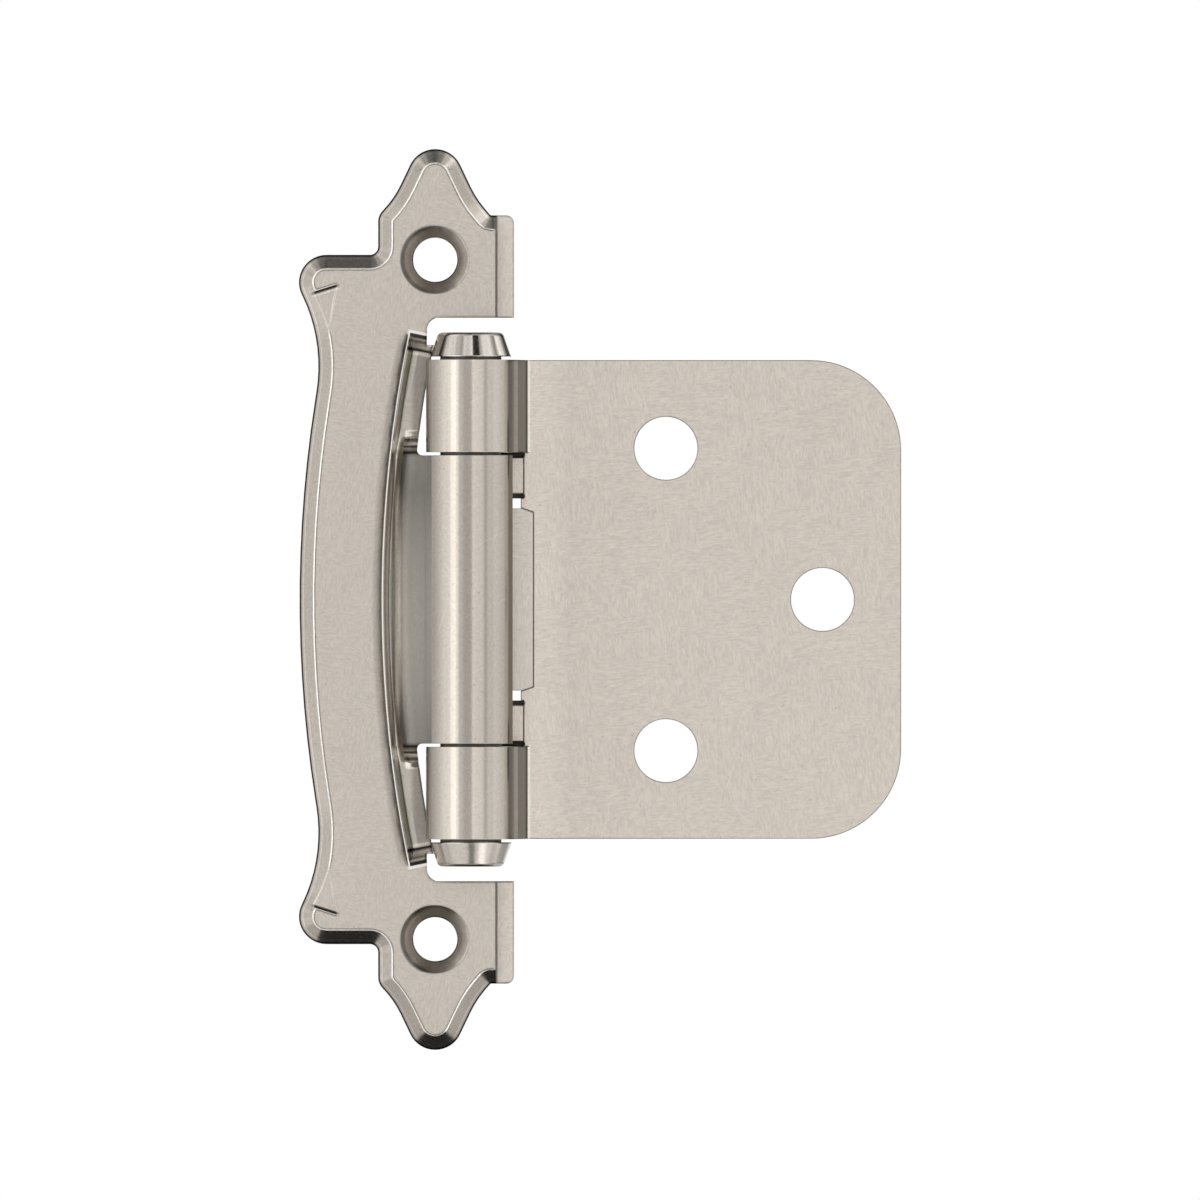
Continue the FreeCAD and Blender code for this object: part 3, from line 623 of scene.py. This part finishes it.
class Plating:
    """A nickel plated material while it is put together."""

    def __init__(self, name, colour, finish, edge, turned, across, along, rubbed=None):
        self.material = bpy.data.materials.new(name)
        self.material.use_nodes = True
        self.tree = self.material.node_tree
        self.tree.nodes.clear()
        self.colour = colour
        coordinates = add(self.tree, "ShaderNodeTexCoord")
        self.where = coordinates.outputs["Object"]
        self.facing = coordinates.outputs["Normal"]
        way = add(self.tree, "ShaderNodeMapping", {
            "Vector": self.where, "Rotation": (0.0, turned, 0.0),
        }).outputs[0]
        self.grain = placed(self.tree, brushed_grain, {
            "Coordinates": way, "Marks across": across, "Marks along": along,
        })
        self.scratches = placed(self.tree, stray_scratches, {
            "Coordinates": self.where, "Amount": 0.7,
        })
        self.wear = placed(self.tree, edge_wear, {"Coordinates": self.where, "Radius": edge})
        self.normal = self.wear.outputs["Normal"]
        # The crests' colour: rubbed nickel that is partly a painted highlight, or a dark painted
        # shade on the leaf
        self.rubbed = tuple(rubbed or finish.worn_colour) + (1.0,)
        self.worn = 1.0
        self.relief = 1.0
        self.base = None
        self.rough = None

    def mottle(self, brushed=1.0):
        """Cloudy plating with grain, scratches and pinholes."""
        tree = self.tree
        spots = placed(tree, speckle, {"Coordinates": self.where})
        base = mixed(tree, spots.outputs["Clouds"], shaded(self.colour, 0.985),
                     shaded(self.colour, 1.015))
        base = mixed(tree, product(tree, spots.outputs["Mottle"], 0.5), base,
                     shaded(self.colour, 0.8))
        marks = product(tree, sums(tree, "SUBTRACT", self.grain.outputs["Mask"], 0.5), 0.15)
        base = vector_sum(tree, "SCALE", base, sums(tree, "MULTIPLY_ADD", marks, brushed, 1.0))
        base = mixed(tree, product(tree, self.scratches.outputs["Mask"], 0.5), base,
                     shaded(self.colour, 1.25))
        self.base = mixed(tree, product(tree, spots.outputs["Pinholes"], 0.3), base,
                          shaded(self.colour, 0.55))

    def scale(self, factor):
        """The plating's colour times a factor, a number or a socket."""
        self.base = vector_sum(self.tree, "SCALE", self.base, factor)

    def shade(self, mask, factor):
        """Plating is lighter or darker by a factor where a mask is."""
        self.scale(sums(self.tree, "MULTIPLY_ADD", mask, factor - 1, 1.0))

    def tint(self, mask, colour):
        """The plating's colour times another where a mask is."""
        times = vector_sum(self.tree, "MULTIPLY", self.base, colour)
        self.base = mixed(self.tree, mask, self.base, times)

    def gloss(self, level):
        """A roughness for all faces, broken up by the grain."""
        self.rough = sums(self.tree, "MULTIPLY_ADD", self.grain.outputs["Mask"], 0.04, level - 0.02)

    def gloss_where(self, mask, level):
        """A roughness of its own where a mask is."""
        self.rough = level_between(self.tree, mask, self.rough, level)

    def flatten(self, mask):
        """The surface faces the front where a mask is, as a rubbed crest does."""
        tree = self.tree
        turned = vector_sum(tree, "SCALE", self.normal, inverse(tree, mask))
        front = vector_sum(tree, "SCALE", (0.0, -1.0, 0.0), mask)
        both = vector_sum(tree, "ADD", turned, front)
        self.normal = vector_sum(tree, "NORMALIZE", both)

    def finished(self):
        """The material with its edges, whose crests are rubbed and partly a painted highlight and
        whose lips and feet take painted shade, its grain in relief and its shader.
        """
        tree = self.tree
        crest = product(tree, self.wear.outputs["Crest"], self.worn)
        foot = product(tree, self.wear.outputs["Foot"], self.worn)
        # Painted shade on the lips, rubbed crests with a painted highlight, and nearly black
        # painted shade at the feet
        self.shade(product(tree, self.wear.outputs["Lip"], self.worn), 0.25)
        base = mixed(tree, crest, self.base, self.rubbed)
        base = mixed(tree, foot, base, shaded(self.colour, 0.03))
        rough = level_between(tree, product(tree, crest, 0.85), self.rough, 0.14)
        height = sums(
            tree, "SUBTRACT", product(tree, self.grain.outputs["Height"], 0.5),
            self.scratches.outputs["Mask"],
        )
        bump = add(tree, "ShaderNodeBump", {
            "Strength": 0.14, "Distance": 0.00002, "Height": product(tree, height, self.relief),
            "Normal": self.normal,
        })
        shader = add(tree, "ShaderNodeBsdfPrincipled", {
            "Base Color": base, "Metallic": 1.0, "Roughness": rough, "Normal": bump.outputs[0],
        })
        out = add(tree, "ShaderNodeOutputMaterial")
        tree.links.new(shader.outputs[0], out.inputs["Surface"])
        return self.material


def sheet_material(name, finish, edge, turned, rubbed=None):
    """Plated sheet: brushed flats, lighter partly from their polish and partly as painted light, a
    burnished barrel, dull steep faces, and painted shade on faces turned away from the light, in
    the countersinks and in the gaps deeper than the leaf's front.
    """
    plate = Plating(name, tuple(finish.nickel_colour), finish, edge, turned, 9500.0, 1700.0, rubbed)
    tree = plate.tree
    on_barrel = placed(tree, rolled_barrel, {"Coordinates": plate.where}).outputs["Mask"]
    off_barrel = inverse(tree, on_barrel)
    tree.links.new(level_between(tree, on_barrel, edge, finish.barrel_edge),
                   plate.wear.inputs["Radius"])
    plate.worn = off_barrel
    plate.relief = level_between(tree, on_barrel, 0.5, 0.25)
    plate.mottle(level_between(tree, on_barrel, 1.0, 0.3))
    brushed = placed(tree, brush_reach_and_shade, {"Normal": plate.facing})
    flat = product(tree, brushed.outputs["Proud"], off_barrel)
    steep = product(tree, brushed.outputs["Steep"], off_barrel)
    # Front faces are lighter, partly polish and partly painted light; faces turned away are darker
    # as painted shade
    plate.shade(flat, 1.1)
    plate.shade(brushed.outputs["Turned away shade"], 0.42)
    # Painted shade in the countersinks with a painted lighter side, on the shaded side of the screw
    # rims, and nearly black in the gaps deeper than the leaf's front
    recess_shade = placed(tree, recess_shading, {"Coordinates": plate.where})
    for label, factor in (("Countersink", 0.68), ("Rim", 0.42), ("Groove", 0.06)):
        plate.shade(recess_shade.outputs[label], factor)
    plate.gloss(finish.sheet_gloss)
    round_gloss = level_between(tree, steep, finish.bevel_gloss, finish.dull_gloss)
    round_gloss = level_between(tree, on_barrel, round_gloss, finish.barrel_gloss)
    plate.gloss_where(inverse(tree, flat), round_gloss)
    return plate


def wing_material(name, finish):
    """The stamped wing's sheet, with painted light and shade in its pocket, at its strip's bend, on
    its ears and at the foot of its bevels.
    """
    plate = sheet_material(name, finish, finish.wing_edge, 1.4)
    tree = plate.tree
    marks = placed(tree, pocket_light_and_shade, {"Coordinates": plate.where})
    # Painted bands of light and shade in the pocket, a cool painted shade on its ramp, a darker
    # painted shade at the barrel's foot, a slight tint on the far wall and a painted highlight
    # along its crest
    plate.scale(marks.outputs["Factor"])
    plate.tint(marks.outputs["Ramp"], (0.93, 1.0, 1.08))
    plate.tint(marks.outputs["Barrel foot"], (0.74, 0.79, 0.84))
    crest_highlight = marks.outputs["Rubbed line"]
    plate.base = mixed(tree, product(tree, crest_highlight, 0.9), plate.base, plate.rubbed)
    plate.flatten(product(tree, crest_highlight, 0.68))
    plate.tint(marks.outputs["Far wall"], (0.96, 1.0, 1.0))
    strip = placed(tree, strip_lines, {"Coordinates": plate.where})
    # Painted shade and highlight along the strip's bend; the strip is made lighter
    for label, factor in (("Dark line", 0.42), ("Bright line", 1.2), ("Strip", 1.17)):
        plate.shade(strip.outputs[label], factor)
    # Crests near the screw rims and beside the strip are darker
    plate.shade(product(tree, strip.outputs["Inside"], plate.wear.outputs["Crest"]), 0.5)
    ears = placed(tree, ear_marks, {"Coordinates": plate.where})
    # Painted shade along the sheared edge and a painted highlight on its lit edge
    for label, factor in (("Sheared edge", 0.05), ("Lit edge", 1.35)):
        plate.shade(ears.outputs[label], factor)
    foot = placed(tree, bevel_foot, {"Coordinates": plate.where, "Normal": plate.facing})
    outside = inverse(tree, marks.outputs["Inside"])
    # Painted shade at the bevels' foot and a painted highlight above it, outside the pocket
    for label, factor in (("Dark line", 0.12), ("Bright line", 1.3)):
        plate.shade(product(tree, foot.outputs[label], outside), factor)
    for mask in (marks.outputs["Inside"], strip.outputs["Inside"], ears.outputs["Quiet"]):
        plate.worn = product(tree, plate.worn, sums(tree, "MULTIPLY_ADD", mask, -0.9, 1.0))
    return plate.finished()


def leaf_material(name, finish):
    """The flat leaf's sheet, with painted light beside the barrel, painted shade on its ramp, its
    edges and the knuckles' shaded side, and a painted dark line and highlight at its bend.
    """
    # The leaf's crests take a dark painted shade, not a rubbed colour
    dark_crest_colour = shaded(finish.nickel_colour, 0.5)[:3]
    plate = sheet_material(name, finish, finish.leaf_edge, 0.1, dark_crest_colour)
    bend = placed(plate.tree, bend_lines, {"Coordinates": plate.where})
    plate.scale(1.08)
    # Painted shade: a cool darker ramp and the knuckles' shaded side; painted light beside the
    # barrel; a painted dark line and highlight along the bend
    plate.tint(bend.outputs["Ramp"], (0.72, 0.74, 0.76))
    plate.tint(bend.outputs["Shaded side"], (0.5, 0.54, 0.58))
    for label, factor in (("Beside", 1.22), ("Dark line", 0.4), ("Bright line", 1.3)):
        plate.shade(bend.outputs[label], factor)
    return plate.finished()


def pin_material(name, finish):
    """Turned pin: polished upper tip, satin lower tip, a dull shaft darkened by painted shade where
    it shows between the knuckles, and painted shade on the upper tip's left flank.
    """
    plate = Plating(name, tuple(finish.pin_colour), finish, 0.0001, 0.0, 14000.0, 300.0)
    plate.scratches.inputs["Amount"].default_value = 0.05
    plate.relief = 0.4
    plate.mottle()
    tree = plate.tree
    z = parts(tree, plate.where)[2]
    sideways = parts(tree, plate.facing)[0]
    shaft = short_of(tree, sums(tree, "ABSOLUTE", z), TIP_BASE, 0.00002)
    upper_tip = past(tree, z, TIP_BASE - 0.0002, 0.0002)
    left_face = short_of(tree, sideways, -0.69, 0.05)
    # Painted shade on the shaft in the gaps between the knuckles and on the upper tip's left flank
    plate.shade(shaft, 0.25)
    plate.shade(product(tree, left_face, upper_tip), 0.42)
    plate.gloss(0.09)
    plate.gloss_where(short_of(tree, z, 0.001, 0.002), 0.22)
    plate.gloss_where(shaft, finish.dull_gloss)
    return plate.finished()


def spring_material(name, finish):
    """Plated spring strip, brushed along its length, with painted shade on faces turned away and
    front faces lighter, partly polish and partly painted light.
    """
    plate = Plating(name, tuple(finish.spring_colour), finish, 0.00008, 1.5, 9000.0, 1100.0)
    plate.mottle()
    brushed = placed(plate.tree, brush_reach_and_shade, {"Normal": plate.facing})
    # Painted shade on faces turned away; front faces lighter, partly polish and partly painted
    # light
    plate.shade(brushed.outputs["Turned away shade"], 0.5)
    plate.shade(brushed.outputs["Proud"], 1.3)
    plate.gloss(finish.sheet_gloss)
    return plate.finished()


def dress(node, material):
    """A node of the solid model gets its material."""
    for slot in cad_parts[node].material_slots:
        slot.material = material


class HINGE_OT_finish_sheet(bpy.types.Operator):
    """Plate the frame wing and the door leaf in satin nickel"""

    bl_idname = "hinge.finish_sheet"
    bl_label = "Finish the wing and the leaf"

    def execute(self, context):
        finish = context.scene.hinge_finish
        dress("frame_wing", wing_material("wing_nickel", finish))
        dress("door_leaf", leaf_material("leaf_nickel", finish))
        return {"FINISHED"}


class HINGE_OT_finish_pin(bpy.types.Operator):
    """Plate the turned pin and its pressed tip"""

    bl_idname = "hinge.finish_pin"
    bl_label = "Finish the pin"

    def execute(self, context):
        material = pin_material("pin_nickel", context.scene.hinge_finish)
        dress("hinge_pin", material)
        dress("pin_tip", material)
        return {"FINISHED"}


class HINGE_OT_finish_spring(bpy.types.Operator):
    """Plate the closing spring"""

    bl_idname = "hinge.finish_spring"
    bl_label = "Finish the spring"

    def execute(self, context):
        finish = context.scene.hinge_finish
        dress("closing_spring", spring_material("spring_nickel", finish))
        return {"FINISHED"}


# How bright the studio is in directions in degrees: round the object from the front, up from
# the horizon, and round the object again in the rows that the upper tip mirrors
BRIGHTEST = 1.5
AROUND = (
    (-180, 0.25), (-125, 0.4), (-110, 0.6), (-95, 0.75), (-83, 0.92), (-73, 1.1), (-63, 1.12),
    (-57, 1.3), (-53, 0.75), (-41, 0.9), (-36, 1.5), (-33, 1.3), (-30, 0.82), (-23, 0.78),
    (-15, 0.6), (1, 0.62), (5, 1.12), (16, 1.02), (31, 0.96), (36, 0.62), (42, 0.66),
    (45, 0.86), (57, 0.84), (64, 0.96), (74, 0.9), (95, 0.74), (108, 0.3), (125, 0.2),
    (180, 0.25),
)
UPWARD = (
    (-90, 0.03), (-60, 0.1), (-47, 0.6), (-33, 0.8), (-15, 1.0), (5, 1.0), (20, 1.2), (38, 1.45),
    (47, 1.45), (52, 0.75), (56, 0.5), (60, 1.0), (64, 0.8), (68, 0.25), (74, 0.3), (78, 0.42),
    (82, 0.22), (90, 0.22),
)
BRIGHTEST_PANEL = 4.0
ABOVE = (
    (-180, 0.07), (-150, 0.1), (-138, 0.3), (-128, 0.2), (-114, 0.1), (-104, 0.08), (-98, 0.25),
    (-92, 0.8), (-75, 0.82), (-62, 0.64), (-52, 0.74), (-42, 0.6), (-34, 0.2), (-27, 0.7),
    (-20, 1.1), (-8, 1.1), (0, 1.3), (4, 1.0), (8, 0.03), (28, 0.01), (33, 0.5), (39, 1.05),
    (70, 1.0), (78, 0.65), (86, 0.38), (91, 0.4), (96, 1.2), (104, 3.0), (116, 4.0), (136, 0.4),
)


def studio_world():
    """White behind the object, and the panels of a small studio in its reflections."""
    world = bpy.data.worlds.new("studio")
    bpy.context.scene.world = world
    world.use_nodes = True
    tree = world.node_tree
    tree.nodes.clear()
    x, y, z = parts(tree, add(tree, "ShaderNodeTexCoord").outputs["Generated"])
    turn = sums(tree, "ARCTAN2", x, product(tree, y, -1.0))
    tilt = sums(tree, "ARCSINE", z)
    around = follow(tree, turn, AROUND, DEGREE, BRIGHTEST)
    upward = follow(tree, tilt, UPWARD, DEGREE, BRIGHTEST)

    # High up, a flag on the left and a panel on the right, which the bevels mirror
    high_up = spread(tree, tilt, 0.56, 0.62)
    left = product(tree, spread(tree, turn, -1.6, -1.8), high_up)
    right = product(tree, spread(tree, turn, 1.4, 1.7), high_up)
    flags = sums(tree, "MULTIPLY_ADD", left, -0.93, 1.0)
    flags = sums(tree, "MULTIPLY_ADD", right, 0.8, flags)

    # The rows that the upper tip mirrors sink from the front to the sides and behind.
    off_front = sums(tree, "ABSOLUTE", turn)
    row = sums(tree, "ADD", spread(tree, off_front, 0.4, 1.8, 0.76, 0.48),
               spread(tree, off_front, 1.8, 2.6, 0.0, -0.28))
    near_row = line_at(tree, tilt, row, 0.17, 0.05)
    panels = follow(tree, turn, ABOVE, DEGREE, BRIGHTEST_PANEL)
    flags = level_between(tree, near_row, flags, panels)

    path = add(tree, "ShaderNodeLightPath")
    mirrored = sums(
        tree, "MAXIMUM", path.outputs["Is Glossy Ray"], path.outputs["Is Transmission Ray"]
    )
    backdrop = spread(tree, y, 0.9, 0.95, smooth=True)
    white = sums(
        tree, "MAXIMUM", path.outputs["Is Camera Ray"], product(tree, mirrored, backdrop)
    )
    colour = mixed(tree, white, product(tree, around, upward, flags), (1.0, 1.0, 1.0, 1.0))
    light = add(tree, "ShaderNodeBackground", {"Color": colour, "Strength": 1.0})
    out = add(tree, "ShaderNodeOutputWorld")
    tree.links.new(light.outputs[0], out.inputs["Surface"])


def floor_material():
    """A pale table top that keeps the object's shadow and is white to the camera."""
    material = bpy.data.materials.new("pale_table")
    material.use_nodes = True
    tree = material.node_tree
    tree.nodes.clear()
    path = add(tree, "ShaderNodeLightPath")
    seen = sums(tree, "MAXIMUM", path.outputs["Is Camera Ray"], path.outputs["Is Glossy Ray"])
    seen = sums(tree, "MAXIMUM", seen, path.outputs["Is Transmission Ray"])
    paper = add(tree, "ShaderNodeBsdfDiffuse", {"Color": (0.8, 0.8, 0.8, 1.0)})
    glow = add(tree, "ShaderNodeEmission", {
        "Color": (1.0, 1.0, 1.0, 1.0), "Strength": product(tree, seen, 0.55),
    })
    both = add(tree, "ShaderNodeAddShader")
    tree.links.new(paper.outputs[0], both.inputs[0])
    tree.links.new(glow.outputs[0], both.inputs[1])
    out = add(tree, "ShaderNodeOutputMaterial")
    tree.links.new(both.outputs[0], out.inputs["Surface"])
    return material


def table_top(level):
    """The floor under the object."""
    bpy.ops.mesh.primitive_plane_add(size=0.8)
    floor = bpy.context.object
    floor.name = "table_top"
    for corner in floor.data.vertices:
        corner.co.z = level
    floor.data.materials.append(floor_material())


# Name, left and right end, near and far end in metres, and how bright it is
CARDS = (
    ("card_below", -0.02, 0.022, -0.02, 0.03, 0.03),
    ("card_left", -0.06, -0.02, -0.02, 0.006, 0.62),
    ("card_right", 0.022, 0.06, -0.02, 0.006, 0.62),
    ("card_behind_left", -0.14, -0.052, 0.006, 0.12, 0.35),
    ("card_behind_right", 0.07, 0.15, 0.01, 0.12, 0.45),
    ("card_front", -0.003, 0.0125, -0.06, -0.026, 0.2),
    ("card_bright", 0.0225, 0.039, -0.048, -0.022, 2.0),
)
CARD_RISE = 0.003


def card(name, left, right, near, far, level, height):
    """A flat card on the table, seen only in what the metal reflects."""
    mesh = bpy.data.meshes.new(name)
    mesh.from_pydata([
        (left, near, height), (right, near, height), (right, far, height), (left, far, height),
    ], [], [(0, 1, 2, 3)])
    board = bpy.data.objects.new(name, mesh)
    bpy.context.collection.objects.link(board)
    board.visible_camera = False
    board.visible_shadow = False
    board.visible_diffuse = False
    material = bpy.data.materials.new(name)
    material.use_nodes = True
    tree = material.node_tree
    tree.nodes.clear()
    shown = add(tree, "ShaderNodeEmission", {"Color": (1.0, 1.0, 1.0, 1.0), "Strength": level})
    out = add(tree, "ShaderNodeOutputMaterial")
    tree.links.new(shown.outputs[0], out.inputs["Surface"])
    mesh.materials.append(material)


def lamp(name, turn, distance, width, height, level):
    """A soft box that faces the hinge; level is how bright its face looks."""
    data = bpy.data.lights.new(name, "AREA")
    data.shape = "RECTANGLE"
    data.size = width
    data.size_y = height
    data.energy = level * math.pi * width * height
    box = bpy.data.objects.new(name, data)
    bpy.context.collection.objects.link(box)
    angle = math.radians(turn)
    back = Vector((math.sin(angle), -math.cos(angle), 0.0))
    box.location = back * distance
    box.rotation_euler = (-back).to_track_quat("-Z", "Y").to_euler()


def camera(distance):
    """A long lens that looks straight at the front, as wide as the photo."""
    data = bpy.data.cameras.new("camera")
    data.sensor_width = SENSOR
    data.lens = SENSOR * distance / PHOTO_WIDTH
    data.clip_end = 20.0
    holder = bpy.data.objects.new("camera", data)
    bpy.context.collection.objects.link(holder)
    holder.location = (PHOTO_CENTRE[0], -distance, PHOTO_CENTRE[1])
    holder.rotation_euler = (math.radians(90), 0, 0)
    bpy.context.scene.camera = holder


class HINGE_OT_stage(bpy.types.Operator):
    """Set up the photo table, its lamp and the camera"""

    bl_idname = "hinge.stage"
    bl_label = "Set up the photo table"

    def execute(self, context):
        stage = context.scene.hinge_stage
        studio_world()
        table_top(stage.floor_level)
        for entry in CARDS:
            card(*entry, height=stage.floor_level + CARD_RISE)
        lamp("left_soft_box", turn=-46, distance=stage.lamp_distance, width=0.24, height=0.8,
             level=0.85)
        camera(stage.camera_distance)
        context.scene.view_settings.view_transform = "Standard"
        return {"FINISHED"}


class HINGE_PT_panel(bpy.types.Panel):
    """The finishes, the stage and a button for each step"""

    bl_label = "Cabinet hinge"
    bl_idname = "HINGE_PT_panel"
    bl_space_type = "VIEW_3D"
    bl_region_type = "UI"
    bl_category = "Hinge"

    def draw(self, context):
        for settings in (context.scene.hinge_finish, context.scene.hinge_stage):
            for name in settings.__annotations__:
                self.layout.prop(settings, name)
        for step in STEPS:
            self.layout.operator(step.bl_idname)


STEPS = (HINGE_OT_finish_sheet, HINGE_OT_finish_pin, HINGE_OT_finish_spring, HINGE_OT_stage)
CLASSES = (HingeFinish, HingeStage) + STEPS + (HINGE_PT_panel,)


def register():
    for made in CLASSES:
        bpy.utils.register_class(made)
    bpy.types.Scene.hinge_finish = PointerProperty(type=HingeFinish)
    bpy.types.Scene.hinge_stage = PointerProperty(type=HingeStage)


def unregister():
    del bpy.types.Scene.hinge_stage
    del bpy.types.Scene.hinge_finish
    for made in reversed(CLASSES):
        bpy.utils.unregister_class(made)


def main():
    register()
    bpy.ops.hinge.finish_sheet()
    bpy.ops.hinge.finish_pin()
    bpy.ops.hinge.finish_spring()
    bpy.ops.hinge.stage()


if __name__ == "__main__":
    main()
